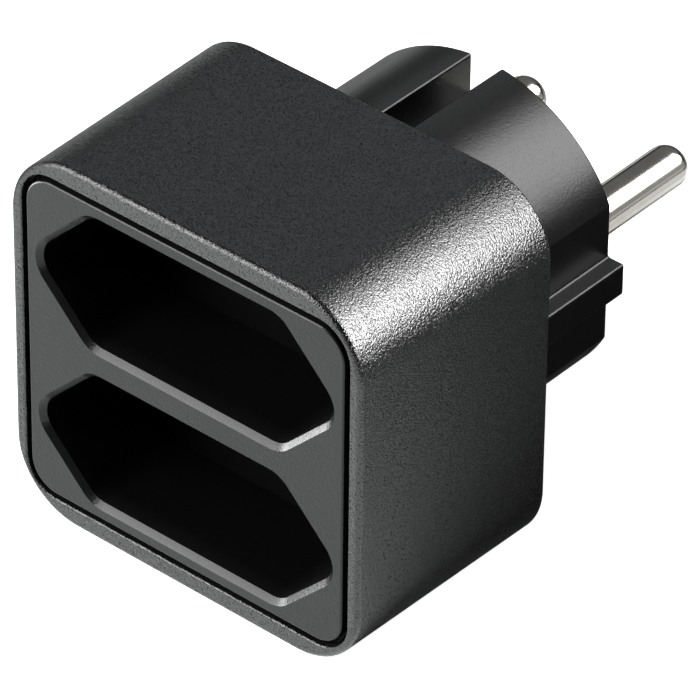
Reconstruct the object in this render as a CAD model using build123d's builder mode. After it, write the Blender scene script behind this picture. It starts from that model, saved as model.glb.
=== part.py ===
from build123d import *
from math import sqrt
import os

# Two-way adapter: one round 37 mm plug with two pins, two flat two-pin sockets one above the other.
# Millimetres. +Z is up, the pins point along +Y, the sockets face -Y.
# The origin is the middle of the plug's end face, halfway between the two pins.
# A station is a distance forward of that face, towards the sockets.

# Plug, to the standard outline for a 37 mm recess
plug_radius = 18.5
plug_depth = 18.1
plug_flat_width = 33.1
plug_wall = 1.8
plug_end_wall = 3.2
plug_edge_rounding = 0.25
plug_corner_rounding = 0.3
key_width = 37.2
key_height = 3.8
groove_width = 3.9
groove_depth = 5.0

# Plug pins; the pins that go into the sockets have the same pitch
pin_pitch = 19.0
pin_radius = 2.4
pin_length = 20.0
pin_tip_rounding = 1.9
pin_shank_radius = 2.0
pin_flange_radius = 3.7
pin_flange_thickness = 1.2
pin_boss_wall = 1.7
pin_boss_length = 4.8
pin_neck_radius = 1.5
pin_head_radius = 2.1
pin_head_thickness = 0.9

# Blind hole for the earth pin of a socket that has one
earth_hole_radius = 2.65
earth_hole_offset = 10.0
earth_hole_length = 14.0
earth_hole_wall = 0.8

# Box
box_depth = 28.0
side_rim = 1.45
top_rim = 2.3
side_draft = 0.6
corner_radius = 8.2
rim_rounding = 0.6
rim_inner_rounding = 0.25
rear_edge_rounding = 0.25
box_wall = 2.1
panel_ledge_depth = 2.5
base_ledge = 0.8

# Front panel and its two wells
panel_side_margin = 1.15
panel_top_margin = 1.2
panel_corner_radius = 3.4
panel_thickness = 2.8
panel_groove = 0.65
panel_edge_rounding = 0.25
socket_pitch = 19.4
well_length = 38.1
well_height = 15.7
well_depth = 13.0
well_corner_radius = 2.9
well_wall = 1.0
well_floor = 2.0
mouth_bevel = 0.6
contact_hole_radius = 2.45

# Shutters, their rails, springs and cover
contact_pin_radius = 2.0
shutter_thickness = 4.6
shutter_width = 27.0
shutter_lip = 0.8
shutter_overlap = 0.5
shutter_head = 2.0
shutter_edge_rounding = 0.5
shutter_open_margin = 0.3
ramp_width = 6.2
slide_gap = 0.3
rail_width = 2.2
spring_radius = 1.55
spring_wire_radius = 0.2
spring_turns = 5.5
spring_pocket_width = 4.4
spring_pocket_floor = 1.5
spring_spigot_radius = 1.1
spring_spigot_length = 1.2
spring_end_gap = 0.05
lug_thickness = 1.2
cover_width = 34.4
cover_thickness = 1.4
cover_corner_radius = 3.0
cover_funnel = 0.5
stake_radius = 0.9
stake_head_radius = 1.5
stake_head_height = 0.7
stake_inset = 2.4

# Brass strips, contact sleeves and grip rings
strip_width = 5.0
strip_thickness = 0.8
strip_end_margin = 2.5
strip_rest_size = 2.4
strip_rest_offset = 6.3
sleeve_inner_radius = 2.15
sleeve_wall = 0.4
sleeve_waist_inner_radius = 1.92
sleeve_waist_from_mouth = 3.2
sleeve_waist_taper = 2.2
sleeve_mouth_gap = 0.5
sleeve_base_thickness = 0.8
sleeve_slit_width = 0.6
sleeve_solid_length = 4.0
sleeve_spigot_radius = 1.4
sleeve_rivet_radius = 2.1
sleeve_rivet_thickness = 0.5
ring_wire_radius = 0.3
ring_arc = 300.0

# Contact holder and the long screw that draws the whole adapter together
holder_thickness = 2.2
holder_gap = 0.3
screw_radius = 1.5
screw_length = 17.0
screw_point_length = 1.5
screw_point_radius = 0.75
screw_head_radius = 2.8
screw_head_height = 2.2
screw_head_rounding = 0.7
screw_recess_width = 0.8
screw_recess_length = 3.0
screw_recess_depth = 1.2
screw_well_radius = 3.2
screw_well_depth = 7.4
screw_tube_radius = 4.5
screw_boss_radius = 3.3
screw_pilot_extra = 1.0
base_plate_thickness = 2.2

# Fits
press_gap = 0.02
seat_gap = 0.15
ledge_gap = 0.3

# How near two radii are when an edge is picked by its radius
radius_tolerance = 0.01

# Stations along the adapter, each from the one behind it
rear_at = plug_depth
base_seat_at = rear_at + base_plate_thickness
front_at = rear_at + box_depth
panel_seat_at = front_at - panel_thickness
ledge_back_at = panel_seat_at - panel_ledge_depth
floor_front_at = front_at - well_depth
floor_back_at = floor_front_at - well_floor
shutter_front_at = floor_back_at - slide_gap
shutter_back_at = shutter_front_at - shutter_thickness
spring_at = (shutter_front_at + shutter_back_at) / 2
cover_front_at = shutter_back_at - slide_gap
cover_back_at = cover_front_at - cover_thickness
pin_boss_at = plug_end_wall + pin_boss_length
strip_back_at = pin_boss_at + pin_flange_thickness
strip_front_at = strip_back_at + strip_thickness
holder_front_at = strip_front_at + holder_thickness
sleeve_mouth_at = cover_back_at - sleeve_mouth_gap
sleeve_waist_at = sleeve_mouth_at - sleeve_waist_from_mouth
sleeve_outer_radius = sleeve_inner_radius + sleeve_wall

# Overall sizes across the adapter, from the wells outwards
wells_height = socket_pitch + well_height
panel_width = well_length + 2 * (mouth_bevel + panel_side_margin)
panel_height = wells_height + 2 * (mouth_bevel + panel_top_margin)
opening_width = panel_width + 2 * panel_groove
opening_height = panel_height + 2 * panel_groove
front_width = opening_width + 2 * side_rim
rear_width = front_width + 2 * side_draft
box_height = opening_height + 2 * top_rim
ledge_width = well_length + 2 * (well_wall + ledge_gap)
ledge_height = wells_height + 2 * (well_wall + ledge_gap)
cavity_width = front_width - 2 * box_wall
cavity_height = box_height - 2 * box_wall
box_inner_radius = corner_radius - box_wall
base_opening_width = cavity_width + 2 * base_ledge
base_opening_height = cavity_height + 2 * base_ledge
rail_height = wells_height + 2 * well_wall

# Places across the adapter
socket_heights = (socket_pitch / 2, -socket_pitch / 2)
pin_sides = (pin_pitch / 2, -pin_pitch / 2)
rail_offset = shutter_width / 2 + slide_gap + rail_width / 2
stake_height = rail_height / 2 - stake_inset

os.makedirs("parts", exist_ok=True)


def station(distance):
    """The plane square to the pins at a station, facing the sockets' side."""
    return Plane.XZ.offset(distance)


def along_axis(x, z):
    """A plane through a line parallel to the pins, for a profile of radius and -station."""
    return Plane(origin=(x, 0, z), x_dir=(1, 0, 0), z_dir=(0, 0, 1))


def pin_axis(x, z):
    """The line parallel to the pins at a place across the adapter."""
    return Axis((x, 0, z), (0, 1, 0))


def well_outline(growth):
    """The long six-sided outline of a flat two-pin plug, with 45 degree ends, grown on every side."""
    half_height = well_height / 2
    half_flat = well_length / 2 + well_corner_radius * (sqrt(2) - 1) - half_height
    with BuildSketch() as outline:
        with BuildLine():
            Polyline(
                (-half_flat - half_height, 0),
                (-half_flat, half_height),
                (half_flat, half_height),
                (half_flat + half_height, 0),
                (half_flat, -half_height),
                (-half_flat, -half_height),
                close=True,
            )
        make_face()
        fillet(outline.vertices(), well_corner_radius)
        if growth > 0:
            offset(amount=growth, kind=Kind.ARC)
    return outline.sketch


def plug_outline():
    """The round plug's outline: two flats, a rib on each flat, and a groove above and below."""
    with BuildSketch() as outline:
        Circle(plug_radius)
        Rectangle(plug_flat_width, 2 * plug_radius, mode=Mode.INTERSECT)
        Rectangle(key_width, key_height)
        with Locations((0, plug_radius), (0, -plug_radius)):
            Rectangle(groove_width, 2 * groove_depth, mode=Mode.SUBTRACT)
        fillet(outline.vertices(), plug_corner_rounding)
    return outline.sketch


def contact_places():
    """Each socket contact's name and place, seen from the front."""
    for height_name, z in zip(("upper", "lower"), socket_heights):
        for side_name, x in zip(("right", "left"), pin_sides):
            yield f"{height_name}_{side_name}", x, z


# Housing: a sleeve that narrows to the front, with a ledge for the panel and one for the base
with BuildPart() as housing:
    with BuildSketch():
        with BuildLine():
            Polyline(
                (-rear_width / 2, -rear_at),
                (rear_width / 2, -rear_at),
                (front_width / 2, -front_at),
                (-front_width / 2, -front_at),
                close=True,
            )
        make_face()
    extrude(amount=box_height / 2, both=True)
    long_edges = housing.edges().filter_by(lambda edge: abs((edge @ 1 - edge @ 0).Y) > box_depth / 2)
    fillet(long_edges, corner_radius)
    front_edges = housing.faces().sort_by(Axis.Y)[0].edges()
    fillet(front_edges, rim_rounding)
    rear_edges = housing.faces().sort_by(Axis.Y)[-1].edges()
    fillet(rear_edges, rear_edge_rounding)
    with BuildSketch(station(ledge_back_at)):
        RectangleRounded(ledge_width, ledge_height, panel_corner_radius)
    extrude(amount=front_at - ledge_back_at, mode=Mode.SUBTRACT)
    with BuildSketch(station(panel_seat_at)):
        RectangleRounded(opening_width, opening_height, panel_corner_radius + panel_groove)
    extrude(amount=panel_thickness, mode=Mode.SUBTRACT)
    with BuildSketch(station(rear_at)):
        RectangleRounded(cavity_width, cavity_height, box_inner_radius)
    extrude(amount=ledge_back_at - rear_at, mode=Mode.SUBTRACT)
    with BuildSketch(station(rear_at)):
        RectangleRounded(base_opening_width, base_opening_height, box_inner_radius + base_ledge)
    extrude(amount=base_plate_thickness, mode=Mode.SUBTRACT)
    mouth_edges = housing.faces().filter_by(Plane.XZ).sort_by(Axis.Y)[0].inner_wires().edges()
    fillet(mouth_edges, rim_inner_rounding)
housing.part.label = "housing"
export_step(housing.part, "parts/housing.step")

# Front panel: face plate, two wells with contact holes, shutter rails, spring lugs and the screw boss
lug_middle = rail_height / 2 - lug_thickness / 2
with BuildPart() as front_panel:
    with BuildSketch(station(panel_seat_at)):
        RectangleRounded(panel_width, panel_height, panel_corner_radius)
    extrude(amount=panel_thickness)
    panel_rim = front_panel.faces().sort_by(Axis.Y)[0].edges()
    fillet(panel_rim, panel_edge_rounding)
    with BuildSketch(station(floor_back_at)):
        for z in socket_heights:
            with Locations((0, z)):
                add(well_outline(well_wall))
    extrude(amount=panel_seat_at - floor_back_at)
    with BuildSketch(station(cover_front_at)):
        with Locations((rail_offset, 0), (-rail_offset, 0)):
            Rectangle(rail_width, rail_height)
        with Locations((0, lug_middle), (0, -lug_middle)):
            Rectangle(spring_pocket_width, lug_thickness)
    extrude(amount=panel_seat_at - cover_front_at)
    with BuildSketch(station(holder_front_at)):
        Circle(screw_boss_radius)
    extrude(amount=floor_front_at - holder_front_at)
    with BuildSketch(station(floor_front_at)):
        for z in socket_heights:
            with Locations((0, z)):
                add(well_outline(0))
    extrude(amount=well_depth, mode=Mode.SUBTRACT)
    mouth_edges = front_panel.faces().sort_by(Axis.Y)[0].inner_wires().edges()
    chamfer(mouth_edges, mouth_bevel)
    with BuildSketch(station(floor_back_at)):
        for z in socket_heights:
            with Locations((pin_sides[0], z), (pin_sides[1], z)):
                Circle(contact_hole_radius)
    extrude(amount=well_floor, mode=Mode.SUBTRACT)
    with BuildSketch(station(holder_front_at)):
        Circle(screw_radius + press_gap)
    pilot_end_at = screw_well_depth + screw_length + screw_pilot_extra
    extrude(amount=pilot_end_at - holder_front_at, mode=Mode.SUBTRACT)
    with BuildSketch(station(cover_back_at)):
        with GridLocations(2 * rail_offset, 2 * stake_height, 2, 2):
            Circle(stake_radius)
    extrude(amount=cover_thickness)
    with BuildSketch(station(cover_back_at - stake_head_height)):
        with GridLocations(2 * rail_offset, 2 * stake_height, 2, 2):
            Circle(stake_head_radius)
    extrude(amount=stake_head_height)
    with BuildSketch(Plane.XY.offset(rail_height / 2 - lug_thickness)):
        with Locations((0, -spring_at)):
            Circle(spring_spigot_radius)
    extrude(amount=-spring_spigot_length)
    with BuildSketch(Plane.XY.offset(-rail_height / 2 + lug_thickness)):
        with Locations((0, -spring_at)):
            Circle(spring_spigot_radius)
    extrude(amount=spring_spigot_length)
front_panel.part.label = "front_panel"
export_step(front_panel.part, "parts/front_panel.step")

# Plug base: the plate that closes the box and the hollow plug body, one moulding, with room
# for the contact sleeves where they come near its wall
central_tube_length = strip_front_at - plug_end_wall
with BuildPart() as plug_base:
    with BuildSketch(station(0)):
        add(plug_outline())
    extrude(amount=base_seat_at)
    end_edges = plug_base.faces().sort_by(Axis.Y)[-1].edges()
    fillet(end_edges, plug_edge_rounding)
    with BuildSketch(station(rear_at)):
        RectangleRounded(
            base_opening_width - 2 * seat_gap,
            base_opening_height - 2 * seat_gap,
            box_inner_radius + base_ledge - seat_gap,
        )
    extrude(amount=base_plate_thickness)
    with BuildSketch(station(plug_end_wall)):
        Circle(plug_radius - plug_wall)
        Rectangle(plug_flat_width - 2 * plug_wall, 2 * plug_radius, mode=Mode.INTERSECT)
        with Locations((0, plug_radius), (0, -plug_radius)):
            Rectangle(groove_width + 2 * plug_wall, 2 * (groove_depth + plug_wall), mode=Mode.SUBTRACT)
        with GridLocations(pin_pitch, socket_pitch, 2, 2):
            Circle(sleeve_outer_radius + holder_gap)
    extrude(amount=base_seat_at - plug_end_wall, mode=Mode.SUBTRACT)
    with BuildSketch(station(0)):
        Circle(screw_tube_radius)
    extrude(amount=strip_front_at)
    with BuildSketch(station(0)):
        with Locations((pin_sides[0], 0), (pin_sides[1], 0)):
            Circle(pin_radius + pin_boss_wall)
    extrude(amount=pin_boss_at)
    with BuildSketch(station(plug_end_wall)):
        with GridLocations(pin_pitch, 2 * strip_rest_offset, 2, 2):
            Rectangle(strip_rest_size, strip_rest_size)
    extrude(amount=strip_back_at - plug_end_wall)
    with BuildSketch(station(0)):
        with Locations((0, earth_hole_offset)):
            Circle(earth_hole_radius + earth_hole_wall)
    extrude(amount=earth_hole_length + earth_hole_wall)
    with BuildSketch(station(0)):
        with Locations((pin_sides[0], 0), (pin_sides[1], 0)):
            Circle(pin_shank_radius + press_gap)
    extrude(amount=pin_boss_at, mode=Mode.SUBTRACT)
    with BuildSketch(station(0)):
        with Locations((0, earth_hole_offset)):
            Circle(earth_hole_radius)
    extrude(amount=earth_hole_length, mode=Mode.SUBTRACT)
    with BuildSketch(station(0)):
        Circle(screw_well_radius)
    extrude(amount=screw_well_depth, mode=Mode.SUBTRACT)
    with BuildSketch(station(0)):
        Circle(screw_radius + seat_gap)
    extrude(amount=strip_front_at, mode=Mode.SUBTRACT)
plug_base.part.label = "plug_base"
export_step(plug_base.part, "parts/plug_base.step")

# Plug pins: solid, each seated by a shoulder on the end face, with a flange behind the boss
# and a neck riveted over the strip
for side_name, x in zip(("right", "left"), pin_sides):
    with BuildPart() as plug_pin:
        with BuildSketch(along_axis(x, 0)):
            with BuildLine():
                Polyline(
                    (0, pin_length),
                    (pin_radius, pin_length),
                    (pin_radius, 0),
                    (pin_shank_radius, 0),
                    (pin_shank_radius, -pin_boss_at),
                    (pin_flange_radius, -pin_boss_at),
                    (pin_flange_radius, -strip_back_at),
                    (pin_neck_radius, -strip_back_at),
                    (pin_neck_radius, -strip_front_at),
                    (pin_head_radius, -strip_front_at),
                    (pin_head_radius, -strip_front_at - pin_head_thickness),
                    (0, -strip_front_at - pin_head_thickness),
                    close=True,
                )
            make_face()
        revolve(axis=pin_axis(x, 0))
        tip_edge = plug_pin.edges().filter_by(GeomType.CIRCLE).sort_by(Axis.Y)[-1]
        fillet(tip_edge, pin_tip_rounding)
    plug_pin.part.label = f"plug_pin_{side_name}"
    export_step(plug_pin.part, f"parts/plug_pin_{side_name}.step")

# Brass strips: each joins one plug pin to the contacts above and below it
for side_name, x in zip(("right", "left"), pin_sides):
    with BuildPart() as strip:
        with BuildSketch(station(strip_back_at)):
            with Locations((x, 0)):
                SlotOverall(socket_pitch + 2 * strip_end_margin, strip_width, rotation=90)
                Circle(pin_neck_radius + press_gap, mode=Mode.SUBTRACT)
            with Locations((x, socket_heights[0]), (x, socket_heights[1])):
                Circle(sleeve_spigot_radius + press_gap, mode=Mode.SUBTRACT)
        extrude(amount=strip_thickness)
    strip.part.label = f"strip_{side_name}"
    export_step(strip.part, f"parts/strip_{side_name}.step")

# Contact sleeves: slit tubes with a waist that grips the pin, each riveted to its strip
waist_outer_radius = sleeve_waist_inner_radius + sleeve_wall
for name, x, z in contact_places():
    with BuildPart() as contact_sleeve:
        with BuildSketch(along_axis(x, z)):
            with BuildLine():
                Polyline(
                    (0, -strip_back_at + sleeve_rivet_thickness),
                    (sleeve_rivet_radius, -strip_back_at + sleeve_rivet_thickness),
                    (sleeve_rivet_radius, -strip_back_at),
                    (sleeve_spigot_radius, -strip_back_at),
                    (sleeve_spigot_radius, -strip_front_at),
                    (sleeve_outer_radius, -strip_front_at),
                    (sleeve_outer_radius, -sleeve_waist_at + sleeve_waist_taper),
                    (waist_outer_radius, -sleeve_waist_at),
                    (sleeve_outer_radius, -sleeve_mouth_at),
                    (sleeve_inner_radius, -sleeve_mouth_at),
                    (sleeve_waist_inner_radius, -sleeve_waist_at),
                    (sleeve_inner_radius, -sleeve_waist_at + sleeve_waist_taper),
                    (sleeve_inner_radius, -strip_front_at - sleeve_base_thickness),
                    (0, -strip_front_at - sleeve_base_thickness),
                    close=True,
                )
            make_face()
        revolve(axis=pin_axis(x, z))
        with BuildSketch(station(strip_front_at + sleeve_solid_length)):
            with Locations((x, z)):
                Rectangle(sleeve_slit_width, 2 * (sleeve_outer_radius + sleeve_wall))
        extrude(amount=sleeve_mouth_at - strip_front_at - sleeve_solid_length, mode=Mode.SUBTRACT)
    contact_sleeve.part.label = f"contact_sleeve_{name}"
    export_step(contact_sleeve.part, f"parts/contact_sleeve_{name}.step")

# Grip rings: open steel rings that hold each sleeve's waist closed
ring_radius = waist_outer_radius + press_gap + ring_wire_radius
for name, x, z in contact_places():
    with BuildPart() as grip_ring:
        with BuildSketch(along_axis(x, z)):
            with Locations((ring_radius, -sleeve_waist_at)):
                Circle(ring_wire_radius)
        revolve(axis=pin_axis(x, z), revolution_arc=ring_arc)
    grip_ring.part.label = f"grip_ring_{name}"
    export_step(grip_ring.part, f"parts/grip_ring_{name}.step")

# Contact holder: the insulating plate that keeps strips and sleeves in the plug body
with BuildPart() as contact_holder:
    with BuildSketch(station(strip_front_at)):
        Circle(plug_radius - plug_wall - holder_gap)
        Rectangle(
            plug_flat_width - 2 * plug_wall - 2 * holder_gap,
            2 * plug_radius,
            mode=Mode.INTERSECT,
        )
        with Locations((0, plug_radius), (0, -plug_radius)):
            Rectangle(
                groove_width + 2 * plug_wall + 2 * holder_gap,
                2 * (groove_depth + plug_wall + holder_gap),
                mode=Mode.SUBTRACT,
            )
        with Locations((0, earth_hole_offset)):
            Circle(earth_hole_radius + earth_hole_wall + holder_gap, mode=Mode.SUBTRACT)
        with Locations((pin_sides[0], 0), (pin_sides[1], 0)):
            Circle(pin_head_radius + holder_gap, mode=Mode.SUBTRACT)
        with GridLocations(pin_pitch, socket_pitch, 2, 2):
            Circle(sleeve_outer_radius + holder_gap, mode=Mode.SUBTRACT)
        Circle(screw_radius + seat_gap, mode=Mode.SUBTRACT)
    extrude(amount=holder_thickness)
contact_holder.part.label = "contact_holder"
export_step(contact_holder.part, "parts/contact_holder.step")

# Long screw, put in from the plug's end face
screw_seat_at = screw_well_depth
screw_tip_at = screw_seat_at + screw_length
with BuildPart() as housing_screw:
    with BuildSketch(along_axis(0, 0)):
        with BuildLine():
            Polyline(
                (0, -screw_seat_at + screw_head_height),
                (screw_head_radius, -screw_seat_at + screw_head_height),
                (screw_head_radius, -screw_seat_at),
                (screw_radius, -screw_seat_at),
                (screw_radius, -screw_tip_at + screw_point_length),
                (screw_point_radius, -screw_tip_at),
                (0, -screw_tip_at),
                close=True,
            )
        make_face()
    revolve(axis=pin_axis(0, 0))
    head_edge = housing_screw.edges().filter_by(GeomType.CIRCLE).sort_by(Axis.Y)[-1]
    fillet(head_edge, screw_head_rounding)
    with BuildSketch(station(screw_seat_at - screw_head_height)):
        Rectangle(screw_recess_width, screw_recess_length)
        Rectangle(screw_recess_length, screw_recess_width)
    extrude(amount=screw_recess_depth, mode=Mode.SUBTRACT)
housing_screw.part.label = "housing_screw"
export_step(housing_screw.part, "parts/housing_screw.step")

# Shutter cover: the plate that traps both shutters behind the wells
with BuildPart() as shutter_cover:
    with BuildSketch(station(cover_back_at)):
        RectangleRounded(cover_width, rail_height, cover_corner_radius)
        Circle(screw_boss_radius + holder_gap, mode=Mode.SUBTRACT)
        with GridLocations(pin_pitch, socket_pitch, 2, 2):
            Circle(contact_hole_radius, mode=Mode.SUBTRACT)
        with GridLocations(2 * rail_offset, 2 * stake_height, 2, 2):
            Circle(stake_radius + press_gap, mode=Mode.SUBTRACT)
    extrude(amount=cover_thickness)
    funnel_edges = (
        shutter_cover.edges()
        .filter_by(GeomType.CIRCLE)
        .group_by(Axis.Y)[0]
        .filter_by(lambda edge: abs(edge.radius - contact_hole_radius) < radius_tolerance)
    )
    chamfer(funnel_edges, cover_funnel)
shutter_cover.part.label = "shutter_cover"
export_step(shutter_cover.part, "parts/shutter_cover.step")

# Shutters: each covers both holes of one socket and is pushed outwards by two pins together
ramp_bottom = socket_pitch / 2 - contact_hole_radius - shutter_overlap
ramp_top = socket_pitch / 2 + contact_hole_radius + shutter_overlap
shutter_top = ramp_top + shutter_head
spring_floor = ramp_bottom + spring_pocket_floor
spring_ceiling = rail_height / 2 - lug_thickness
with BuildPart() as shutter_upper:
    with BuildSketch(station(shutter_back_at)):
        with Locations((0, (ramp_bottom + shutter_top) / 2)):
            RectangleRounded(shutter_width, shutter_top - ramp_bottom, shutter_edge_rounding)
        with Locations((0, spring_floor)):
            Rectangle(
                spring_pocket_width + 2 * slide_gap,
                2 * (shutter_top - ramp_bottom),
                align=(Align.CENTER, Align.MIN),
                mode=Mode.SUBTRACT,
            )
    extrude(amount=shutter_thickness)
    for x in pin_sides:
        with BuildSketch(Plane.YZ.offset(x)):
            with BuildLine():
                Polyline(
                    (-shutter_front_at, ramp_top),
                    (-shutter_back_at - shutter_lip, ramp_bottom),
                    (-shutter_front_at, ramp_bottom),
                    close=True,
                )
            make_face()
        extrude(amount=ramp_width / 2, both=True, mode=Mode.SUBTRACT)
    with BuildSketch(Plane.XY.offset(spring_floor)):
        with Locations((0, -spring_at)):
            Circle(spring_spigot_radius)
    extrude(amount=spring_spigot_length)
shutter_upper.part.label = "shutter_upper"
export_step(shutter_upper.part, "parts/shutter_upper.step")

with BuildPart() as shutter_lower:
    mirror(shutter_upper.part, about=Plane.XY)
shutter_lower.part.label = "shutter_lower"
export_step(shutter_lower.part, "parts/shutter_lower.step")

# Shutter springs: from the shutter's pocket to the panel's lug
spring_height = spring_ceiling - spring_floor - 2 * (spring_wire_radius + spring_end_gap)
spring_start = spring_floor + spring_wire_radius + spring_end_gap
with BuildPart() as spring_upper:
    with BuildLine():
        coil = Helix(
            pitch=spring_height / spring_turns,
            height=spring_height,
            radius=spring_radius,
            center=(0, -spring_at, spring_start),
        )
    with BuildSketch(Plane(origin=coil @ 0, z_dir=coil % 0)):
        Circle(spring_wire_radius)
    sweep(path=coil, is_frenet=True)
spring_upper.part.label = "spring_upper"
export_step(spring_upper.part, "parts/spring_upper.step")

with BuildPart() as spring_lower:
    mirror(spring_upper.part, about=Plane.XY)
spring_lower.part.label = "spring_lower"
export_step(spring_lower.part, "parts/spring_lower.step")

# How far each shutter travels until its edge clears a pin of full size
travel = socket_pitch / 2 + contact_pin_radius + shutter_open_margin - ramp_bottom
print("shutter travel", round(travel, 3), "top of shutter when open", round(shutter_top + travel, 3))
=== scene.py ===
import math

import bmesh
import bpy
from mathutils import Matrix, Vector


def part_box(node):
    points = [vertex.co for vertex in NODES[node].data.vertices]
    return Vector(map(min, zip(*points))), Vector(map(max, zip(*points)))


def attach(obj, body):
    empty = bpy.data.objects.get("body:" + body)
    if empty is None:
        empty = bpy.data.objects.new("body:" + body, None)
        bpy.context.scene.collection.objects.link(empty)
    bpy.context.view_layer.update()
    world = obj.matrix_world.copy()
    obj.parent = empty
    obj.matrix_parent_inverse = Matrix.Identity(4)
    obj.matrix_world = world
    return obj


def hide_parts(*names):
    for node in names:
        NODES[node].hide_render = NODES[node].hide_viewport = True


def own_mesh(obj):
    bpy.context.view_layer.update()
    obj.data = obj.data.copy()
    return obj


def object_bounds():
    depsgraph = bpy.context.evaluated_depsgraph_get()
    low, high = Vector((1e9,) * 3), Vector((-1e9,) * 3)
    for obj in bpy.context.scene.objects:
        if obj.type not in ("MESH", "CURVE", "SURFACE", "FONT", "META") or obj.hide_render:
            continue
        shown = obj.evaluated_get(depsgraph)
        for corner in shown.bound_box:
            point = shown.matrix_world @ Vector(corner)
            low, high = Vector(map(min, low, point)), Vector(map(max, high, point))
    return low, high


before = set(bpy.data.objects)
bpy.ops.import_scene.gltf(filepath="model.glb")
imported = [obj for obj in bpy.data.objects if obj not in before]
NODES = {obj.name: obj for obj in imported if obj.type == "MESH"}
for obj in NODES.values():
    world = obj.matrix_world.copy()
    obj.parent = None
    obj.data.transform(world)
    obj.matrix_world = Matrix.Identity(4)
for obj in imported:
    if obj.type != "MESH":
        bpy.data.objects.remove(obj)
cad_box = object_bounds()

MM = 0.001


# Nodes


class Signal:
    """A node's socket that takes part in Python arithmetic."""

    def __init__(self, maker, socket):
        self.maker = maker
        self.socket = socket

    def _math(self, operation, *values):
        return self.maker.node("ShaderNodeMath", values, operation=operation)

    def __add__(self, other):
        return self._math("ADD", self, other)

    def __sub__(self, other):
        return self._math("SUBTRACT", self, other)

    def __rsub__(self, other):
        return self._math("SUBTRACT", other, self)

    def __mul__(self, other):
        return self._math("MULTIPLY", self, other)

    def __truediv__(self, other):
        return self._math("DIVIDE", self, other)

    def clamp(self):
        """The value, kept between 0 and 1."""
        return self._math("MINIMUM", self._math("MAXIMUM", self, 0.0), 1.0)

    def rising(self, start, width):
        """0 up to start, then up to 1 over the width."""
        return ((self - start) * (1 / width)).clamp()

    def falling(self, end, width):
        """Down from 1 over the width that comes before end, then 0."""
        return ((end - self) * (1 / width)).clamp()


class Nodes:
    """Makes the nodes of one tree."""

    def __init__(self, tree):
        self.tree = tree

    def node(self, kind, values=(), output=0, **settings):
        """Adds a node: its settings, then its inputs by place or by name. Returns one output."""
        made = self.tree.nodes.new(kind)
        for name, value in settings.items():
            setattr(made, name, value)
        pairs = values.items() if isinstance(values, dict) else enumerate(values)
        for key, value in pairs:
            self.feed(made.inputs[key], value)
        return Signal(self, made.outputs[output])

    def feed(self, socket, value):
        if isinstance(value, Signal):
            self.tree.links.new(value.socket, socket)
        else:
            socket.default_value = value

    def part(self, vector, axis):
        """One coordinate of a vector: 0 for x, 1 for y, 2 for z."""
        return self.node("ShaderNodeSeparateXYZ", (vector,), output=axis)


# Materials


def grey(level, warm=0.0):
    return (level * (1 + warm), level, level * (1 - warm), 1.0)


WHITE = grey(1.0)
# Dull tones and gloss: for the grain's random dark pits, and for the painted shade in the panel's wells
DULL = (grey(0.0004), grey(0.0012))
DULL_ROUGHNESS = 0.45
DULL_MIRROR = 0.06


class Finish(Nodes):
    """One material, with the nodes that make its surface."""

    def __init__(self, name):
        self.material = bpy.data.materials.new(name)
        self.material.use_nodes = True
        super().__init__(self.material.node_tree)
        self.shader = self.tree.nodes["Principled BSDF"]

    def place(self):
        return self.node("ShaderNodeTexCoord", output="Object")

    def along(self, way):
        """How far a place lies along a vector, in metres times the vector's length."""
        return self.node("ShaderNodeVectorMath", (self.place(), way), output=1, operation="DOT_PRODUCT")

    def noise(self, size, detail=2.0, stretch=None):
        """Noise whose lumps are about size metres across."""
        where = self.place()
        if stretch:
            where = self.node("ShaderNodeVectorMath", (where, stretch), operation="MULTIPLY")
        return self.node("ShaderNodeTexNoise", {"Vector": where, "Scale": 1 / size, "Detail": detail})

    def mix(self, amount, first, second):
        """A colour between two, by the amount."""
        values = {0: amount, 6: first, 7: second}
        return self.node("ShaderNodeMix", values, output=2, data_type="RGBA")

    def bump(self, height, distance, strength=1.0):
        values = {"Strength": strength, "Distance": distance, "Height": height}
        return self.node("ShaderNodeBump", values)

    def surface(self, **values):
        """Sets the main shader's inputs, with _ for each space in a name."""
        for name, value in values.items():
            self.feed(self.shader.inputs[name.replace("_", " ")], value)
        return self.material

    def dull(self, tone):
        """Nearly black plastic that mirrors little: the grain's random dark pits, and the painted shade in
        the panel's wells.
        """
        return self.node("ShaderNodeBsdfPrincipled", {
            "Base Color": self.mix(tone, *DULL),
            "Roughness": DULL_ROUGHNESS,
            "Specular IOR Level": DULL_MIRROR,
        })

    def cover(self, amount, shader):
        """Covers the main shader with another one, as far as amount."""
        first = Signal(self, self.shader.outputs[0])
        mixed = self.node("ShaderNodeMixShader", (amount, first, shader))
        self.tree.links.new(mixed.socket, self.tree.nodes["Material Output"].inputs["Surface"])


# The drift changes slowly over a piece. It takes its share in the tone and adds to the roughness
DRIFT_SIZE = 9 * MM
DRIFT_TONE = 0.4
DRIFT_ROUGHNESS = 0.06

# Specks are smaller than the grain. Where their noise is below the pit level there is a dark pit
SPECK_FACTOR = 0.6
SPECK_TONE = 0.6
PIT_LEVEL = 0.43
PIT_EDGE = 1 / 9
PIT_DARKNESS = 1.5


def moulded(name, tones, roughness, grain, depth, pits=0.0, index=1.5):
    """Moulded plastic: a spark-eroded grain with dark pits, a slow drift of tone and of gloss."""
    finish = Finish(name)
    fine = finish.noise(grain)
    drift = finish.noise(DRIFT_SIZE)
    speck = finish.noise(grain * SPECK_FACTOR, detail=1.0)
    made = finish.surface(
        Base_Color=finish.mix(drift * DRIFT_TONE + speck * SPECK_TONE, *tones),
        Roughness=drift * DRIFT_ROUGHNESS + roughness,
        Normal=finish.bump(fine + speck * pits, depth),
        IOR=index,
    )
    if pits:
        hollow = speck.falling(end=PIT_LEVEL, width=PIT_EDGE) * (pits * PIT_DARKNESS)
        finish.cover(hollow, finish.dull(fine))
    return made


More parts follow.
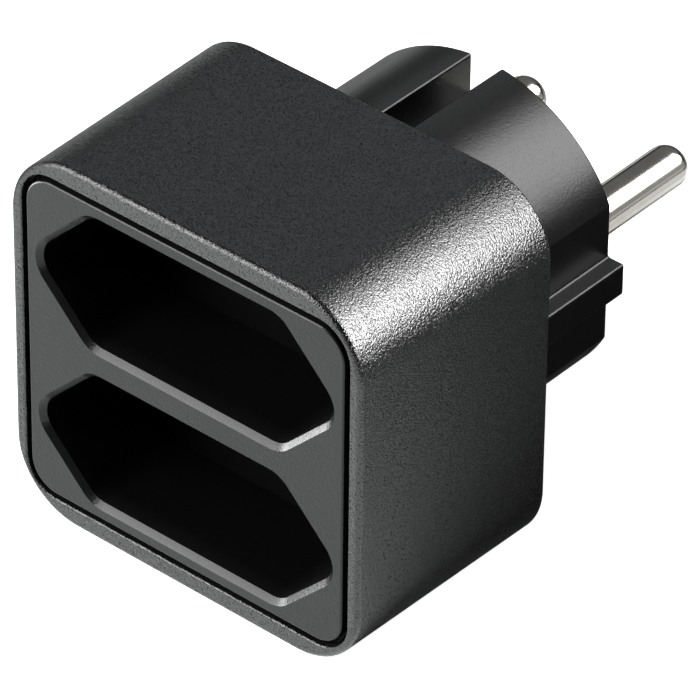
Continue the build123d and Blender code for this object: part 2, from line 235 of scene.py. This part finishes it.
PANEL_FRONT = -46.1 * MM
PANEL_GRAIN = 0.3 * MM
PANEL_DEPTH = 0.032 * MM
PANEL_ROUGHNESS = 0.25
PANEL_INDEX = 1.38
# Painted shade: how deep past the front face the wells' walls take to turn fully dark and dull
WELL_SHADE_PAINTED_OVER = 3 * MM


def panel_finish(tones):
    """The panel's satin face, with painted shade in its wells: past the front face it turns to dull, nearly
    black plastic that mirrors little.
    """
    finish = Finish("panel_satin_plastic")
    fine = finish.noise(PANEL_GRAIN)
    drift = finish.noise(DRIFT_SIZE)
    satin = finish.surface(
        Base_Color=finish.mix(drift, *tones),
        Roughness=drift * DRIFT_ROUGHNESS + PANEL_ROUGHNESS,
        Normal=finish.bump(fine, PANEL_DEPTH),
        IOR=PANEL_INDEX,
    )
    # Painted shade in the wells: past the front face the surface turns to dull, nearly black plastic over a
    # few millimetres
    painted_well_shade = finish.part(finish.place(), 1).rising(start=PANEL_FRONT, width=WELL_SHADE_PAINTED_OVER)
    finish.cover(painted_well_shade, finish.dull(fine))
    return satin


LINE_SIZE = 0.05 * MM
LINE_DEPTH = 0.002 * MM
LINE_STRENGTH = 0.5
LINE_ROUGHNESS = 0.05
CLOUD_SIZE = 3 * MM
CLOUD_ROUGHNESS = 0.1


def plated(name, tones, roughness, lines_run):
    """Plated, stamped or drawn metal with fine lines and a faint cloudiness."""
    finish = Finish(name)
    lines = finish.noise(LINE_SIZE, detail=1.0, stretch=lines_run)
    cloud = finish.noise(CLOUD_SIZE, detail=3.0)
    return finish.surface(
        Base_Color=finish.mix(cloud, *tones),
        Metallic=1.0,
        Roughness=cloud * CLOUD_ROUGHNESS + lines * LINE_ROUGHNESS + roughness,
        Normal=finish.bump(lines, LINE_DEPTH, strength=LINE_STRENGTH),
    )


ANTHRACITE = (grey(0.0015, -0.02), grey(0.003, -0.02))
BLACK = (grey(0.0015), grey(0.003))
GREY = (grey(0.12), grey(0.16))
NICKEL = ((0.62, 0.60, 0.55, 1), (0.78, 0.76, 0.71, 1))
BRASS = ((0.62, 0.45, 0.17, 1), (0.78, 0.6, 0.27, 1))
STEEL = ((0.38, 0.38, 0.4, 1), (0.55, 0.55, 0.57, 1))
ZINC = ((0.5, 0.52, 0.54, 1), (0.66, 0.68, 0.7, 1))

# The lines in a metal run along the axes that have a small number
ROUND_THE_PINS = (0.02, 1, 0.02)
ALONG_THE_STRIPS = (1, 1, 0.05)
ALONG_THE_SCREW = (1, 0.05, 1)
NO_WAY = (1, 1, 1)

MATERIALS = {
    "shell": moulded(
        "shell_grained_plastic", ANTHRACITE, roughness=0.15, grain=0.25 * MM, depth=0.085 * MM,
        pits=0.5, index=1.60,
    ),
    "panel": panel_finish(ANTHRACITE),
    "plug": moulded(
        "plug_satin_plastic", ANTHRACITE, roughness=0.27, grain=0.3 * MM, depth=0.015 * MM, pits=0.16
    ),
    "inner": moulded("inner_plastic", GREY, roughness=0.47, grain=0.3 * MM, depth=0.006 * MM),
    "shutter": moulded("shutter_plastic", BLACK, roughness=0.42, grain=0.3 * MM, depth=0.006 * MM),
    "nickel": plated("nickel_plate", NICKEL, roughness=0.07, lines_run=ROUND_THE_PINS),
    "brass": plated("stamped_brass", BRASS, roughness=0.23, lines_run=ALONG_THE_STRIPS),
    "spring_steel": plated("spring_steel", STEEL, roughness=0.21, lines_run=NO_WAY),
    "zinc": plated("zinc_plate", ZINC, roughness=0.23, lines_run=ALONG_THE_SCREW),
}
PINS = ("plug_pin_right", "plug_pin_left")
FINISH_OF = {
    "housing": "shell",
    "front_panel": "panel",
    "plug_base": "plug",
    "contact_holder": "inner",
    "shutter_cover": "inner",
    "shutter_upper": "shutter",
    "shutter_lower": "shutter",
    "plug_pin_right": "nickel",
    "plug_pin_left": "nickel",
    "housing_screw": "zinc",
}
for name, node in NODES.items():
    other = "spring_steel" if name.startswith(("spring", "grip")) else "brass"
    node.data.materials.clear()
    node.data.materials.append(MATERIALS[FINISH_OF.get(name, other)])


# Shutter springs

SPRING = {
    "Coil radius": 1.55 * MM,
    "Wire radius": 0.2 * MM,
    "Turns": 7.5,
    "Closed turns": 1.0,
    "Height": 8.6 * MM,
    "Points in a turn": 40,
    "Finish": MATERIALS["spring_steel"],
}
WIRE_SIDES = 12
SHUT_PITCH = 2.06  # in wire radii: the closed turns just don't touch
SPRING_LINE = -28.5 * MM
SOCKET_KINDS = {"Points in a turn": "Int", "Finish": "Material", "Place": "Vector"}


def spring_tree():
    """A compression spring's wire: open turns between closed ones."""
    tree = bpy.data.node_groups.new("compression_spring", "GeometryNodeTree")
    tree.interface.new_socket("Geometry", in_out="OUTPUT", socket_type="NodeSocketGeometry")
    for name in (*SPRING, "Place"):
        kind = SOCKET_KINDS.get(name, "Float")
        tree.interface.new_socket(name, in_out="INPUT", socket_type="NodeSocket" + kind)
    maker = Nodes(tree)
    asked = {socket.name: Signal(maker, socket) for socket in tree.nodes.new("NodeGroupInput").outputs}
    circle = maker.node("GeometryNodeCurveSpiral", {
        "Resolution": asked["Points in a turn"],
        "Rotations": asked["Turns"],
        "Start Radius": asked["Coil radius"],
        "End Radius": asked["Coil radius"],
        "Height": 0.0,
    })
    along = maker.node("GeometryNodeSplineParameter")
    closed = asked["Closed turns"] / asked["Turns"]
    ends = {"Value": along, "From Min": closed, "From Max": 1 - closed}
    opened = maker.node("ShaderNodeMapRange", ends)
    shut_height = asked["Wire radius"] * asked["Turns"] * SHUT_PITCH
    rise = along * shut_height + opened * (asked["Height"] - shut_height)
    point = maker.node("GeometryNodeInputPosition")
    lifted = maker.node("ShaderNodeCombineXYZ", (maker.part(point, 0), maker.part(point, 1), rise))
    line = maker.node("GeometryNodeSetPosition", {"Geometry": circle, "Position": lifted})
    round_wire = {"Resolution": WIRE_SIDES, "Radius": asked["Wire radius"]}
    section = maker.node("GeometryNodeCurvePrimitiveCircle", round_wire)
    swept = {"Curve": line, "Profile Curve": section, "Fill Caps": True}
    wire = maker.node("GeometryNodeCurveToMesh", swept)
    placed = maker.node("GeometryNodeTransform", {"Geometry": wire, "Translation": asked["Place"]})
    smooth = maker.node("GeometryNodeSetShadeSmooth", {"Geometry": placed})
    real = maker.node("GeometryNodeRealizeInstances", {"Geometry": smooth})
    painted = maker.node("GeometryNodeSetMaterial", {"Geometry": real, "Material": asked["Finish"]})
    maker.feed(tree.nodes.new("NodeGroupOutput").inputs["Geometry"], painted)
    return tree


def spring(name, low, tree):
    """A spring whose lowest wire centre is at the height low."""
    piece = bpy.data.objects.new(name, bpy.data.meshes.new(name))
    bpy.context.scene.collection.objects.link(piece)
    modifier = piece.modifiers.new("turns", "NODES")
    modifier.node_group = tree
    sizes = {**SPRING, "Place": (0.0, SPRING_LINE, low)}
    for item in tree.interface.items_tree:
        if item.in_out == "INPUT":
            modifier[item.identifier] = sizes[item.name]
    seen = piece.evaluated_get(bpy.context.evaluated_depsgraph_get())
    piece.data = bpy.data.meshes.new_from_object(seen)
    piece.modifiers.clear()
    return piece


SPRING_TREE = spring_tree()
for side, up in (("upper", 1), ("lower", -1)):
    node = "spring_" + side
    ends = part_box(node)
    coil = spring("shutter_coil_" + side, ends[0][2] + SPRING["Wire radius"], SPRING_TREE)
    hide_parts(node)
    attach(coil, "adapter")
    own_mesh(coil)


# Camera

CAMERA_AZIMUTH = 40.4
CAMERA_HEIGHT = 36.88
CAMERA_ROLL = math.radians(0.68)
CAMERA_DISTANCE = 0.7
CAMERA_AIM = Vector((4.49, -26.1, -1.34)) * MM
CAMERA_RANGE = (0.05, 20)
FOCAL_PIXELS = 6990
PICTURE_PIXELS = 700
SENSOR = 36.0


def direction(azimuth, height):
    """The way to a place seen from the object: azimuth 0 is the sockets' side, 90 is the right."""
    a, h = math.radians(azimuth), math.radians(height)
    return Vector((math.sin(a) * math.cos(h), -math.cos(a) * math.cos(h), math.sin(h)))


def photo_camera():
    """The camera that the photo was fitted with."""
    data = bpy.data.cameras.new("photo_camera")
    camera = bpy.data.objects.new("photo_camera", data)
    bpy.context.scene.collection.objects.link(camera)
    back = direction(CAMERA_AZIMUTH, CAMERA_HEIGHT)
    azimuth = math.radians(CAMERA_AZIMUTH)
    right = Vector((math.cos(azimuth), math.sin(azimuth), 0))
    up = back.cross(right)
    c, s = math.cos(CAMERA_ROLL), math.sin(CAMERA_ROLL)
    turned = Matrix((right * c + up * s, up * c - right * s, back)).transposed().to_4x4()
    camera.matrix_world = Matrix.Translation(CAMERA_AIM + back * CAMERA_DISTANCE) @ turned
    data.sensor_width = SENSOR
    data.lens = FOCAL_PIXELS / PICTURE_PIXELS * SENSOR
    data.clip_start, data.clip_end = CAMERA_RANGE
    bpy.context.scene.camera = camera


# Floor

FLOOR_HALF = 1.5
FLOOR_CLOUD = 60 * MM
FLOOR_WANDER = 1.5 * MM
FLOOR_ROUGHNESS = 0.9
UNDER_GAP = 0.01 * MM
SEEN_FLOOR = (grey(0.50), grey(0.52))
# Tones of the mirrored floor: the pale tone is the lit floor; the three after it are painted shadows at the
# back, on the left, and darkest on the right
PALE_FLOOR = (0.79, 0.83, 0.82, 1)
PAINTED_SHADOW_BACK = (0.16, 0.17, 0.17, 1)
PAINTED_SHADOW_LEFT = (0.17, 0.18, 0.18, 1)
PAINTED_SHADOW_RIGHT = (0.02, 0.02, 0.021, 1)
# Ways along which the painted shadows fall off; far to the left only this share of the left painted shadow
# stays
BACK_RIGHT = (0.8, 0.6, 0)
BACK_LEFT = (-0.8, 0.6, 0)
PAINTED_SHADOW_RIGHT_SLANT = (-1.4, 1, 0)
FAR_LEFT_SHARE = 0.5


def level_sheet(name, height, finish):
    """A flat square of the floor."""
    bm = bmesh.new()
    half = FLOOR_HALF
    corners = ((-half, -half), (half, -half), (half, half), (-half, half))
    bm.faces.new([bm.verts.new((x, y, height)) for x, y in corners])
    mesh = bpy.data.meshes.new(name)
    bm.to_mesh(mesh)
    bm.free()
    piece = bpy.data.objects.new(name, mesh)
    bpy.context.scene.collection.objects.link(piece)
    mesh.materials.append(finish.material)
    return piece


def seen_finish():
    """The plain pale floor that the camera sees."""
    finish = Finish("pale_floor")
    finish.surface(
        Base_Color=finish.mix(finish.noise(FLOOR_CLOUD), *SEEN_FLOOR),
        Roughness=FLOOR_ROUGHNESS,
        Emission_Color=WHITE,
        Emission_Strength=1.0,
    )
    return finish


def mirrored_finish():
    """The floor that the object mirrors: pale in front, with painted shadows that make it dim at the back
    and on the left, and dark on the right.
    """
    finish = Finish("white_floor_painted_shadows")
    # Painted shadows on top of the lamps' own: dim at the back and on the left, darkest on the right of the
    # object
    back = finish.along(BACK_RIGHT) + finish.noise(FLOOR_CLOUD) * FLOOR_WANDER
    painted_shadow_back = back.rising(start=36 * MM, width=30 * MM)
    left = finish.along(BACK_LEFT)
    near = left.falling(end=240 * MM, width=80 * MM) * (1 - FAR_LEFT_SHARE) + FAR_LEFT_SHARE
    painted_shadow_left = left.rising(start=20 * MM, width=20 * MM) * near
    slant = finish.along(PAINTED_SHADOW_RIGHT_SLANT)
    right = finish.part(finish.place(), 0)
    painted_shadow_right = slant.rising(start=-79 * MM, width=23 * MM) * right.rising(start=24 * MM, width=4 * MM)
    tone = finish.mix(painted_shadow_back, PALE_FLOOR, PAINTED_SHADOW_BACK)
    tone = finish.mix(painted_shadow_left, tone, PAINTED_SHADOW_LEFT)
    tone = finish.mix(painted_shadow_right, tone, PAINTED_SHADOW_RIGHT)
    finish.surface(Base_Color=tone, Roughness=FLOOR_ROUGHNESS)
    return finish


def floor():
    """One sheet that the camera sees, over one that lights and mirrors the object."""
    low = cad_box[0][2]
    seen = level_sheet("floor", low, seen_finish())
    seen.visible_glossy = False
    seen.visible_diffuse = False
    seen.visible_shadow = False
    under = level_sheet("floor_under", low - UNDER_GAP, mirrored_finish())
    under.visible_camera = False


# Lights

MIDDLE = (0, -0.025, 0)
WORLD_LIGHT = 0.02


def softbox(
    name, azimuth, height, distance, size, power, target=MIDDLE, only=None, diffuse=True, glossy=True
):
    """A soft light that faces a target, from a direction seen from there. It can be kept to some pieces."""
    data = bpy.data.lights.new(name, "AREA")
    data.shape = "RECTANGLE"
    data.size, data.size_y = size
    data.energy = power
    light = bpy.data.objects.new(name, data)
    bpy.context.scene.collection.objects.link(light)
    light.visible_camera = False
    light.visible_diffuse = diffuse
    light.visible_glossy = glossy
    light.location = Vector(target) + direction(azimuth, height) * distance
    light.rotation_euler = (Vector(target) - light.location).to_track_quat("-Z", "Y").to_euler()
    if only:
        pieces = bpy.data.collections.new(name + "_pieces")
        for piece in only:
            pieces.objects.link(NODES[piece])
        light.light_linking.receiver_collection = pieces
    return data


def lights():
    """The light on the floor, the mirrored windows of the whole object, and small ones for single pieces."""
    not_pins = [name for name in NODES if name not in PINS]
    softbox(
        "floor_light", azimuth=-35, height=34, distance=1.4, size=(0.7, 0.5), power=74.0, glossy=False
    )
    softbox(
        "window_light", azimuth=-40, height=27, distance=0.8, size=(0.6, 0.75), power=13.0, diffuse=False
    )
    back = softbox(
        "back_left_light", azimuth=-140, height=38, distance=0.8, size=(0.5, 0.5), power=0.48,
        only=not_pins, diffuse=False,
    )
    back.color = (0.95, 0.99, 1.02)
    edge = softbox(
        "edge_light", azimuth=120, height=28, distance=0.12, size=(0.06, 0.09), power=0.15,
        target=(0.021, -0.044, 0.019), only=["housing"],
    )
    edge.spread = math.radians(90)
    softbox(
        "lip_light", azimuth=-77, height=4, distance=0.12, size=(0.05, 0.055), power=0.15,
        target=(0.012, -0.046, -0.005), only=["front_panel"],
    )
    softbox(
        "plug_light", azimuth=142.5, height=43, distance=0.40, size=(0.26, 0.34), power=2.1,
        target=(0.012, -0.005, 0.014), diffuse=False,
    )
    softbox(
        "pin_light", azimuth=146.9, height=43.4, distance=0.8, size=(0.5, 0.85), power=2.8, only=PINS
    )
    softbox(
        "pin_sky_light", azimuth=-150, height=42, distance=0.8, size=(0.9, 0.9), power=0.30, only=PINS
    )
    softbox(
        "pin_card_light", azimuth=0, height=-90, distance=0.071, size=(0.06, 0.06), power=0.008,
        target=(0.045, 0.045, 0.05), only=PINS,
    )
    softbox(
        "pin_side_light", azimuth=130, height=2, distance=0.12, size=(0.12, 0.05), power=0.0055,
        target=(0.0095, 0.010, 0.0), only=PINS,
    )


def surroundings():
    """A faint even light from everywhere."""
    world = bpy.data.worlds.new("studio")
    bpy.context.scene.world = world
    world.use_nodes = True
    background = world.node_tree.nodes["Background"]
    background.inputs["Color"].default_value = WHITE
    background.inputs["Strength"].default_value = WORLD_LIGHT


photo_camera()
floor()
lights()
surroundings()
bpy.context.scene.view_settings.view_transform = "Standard"
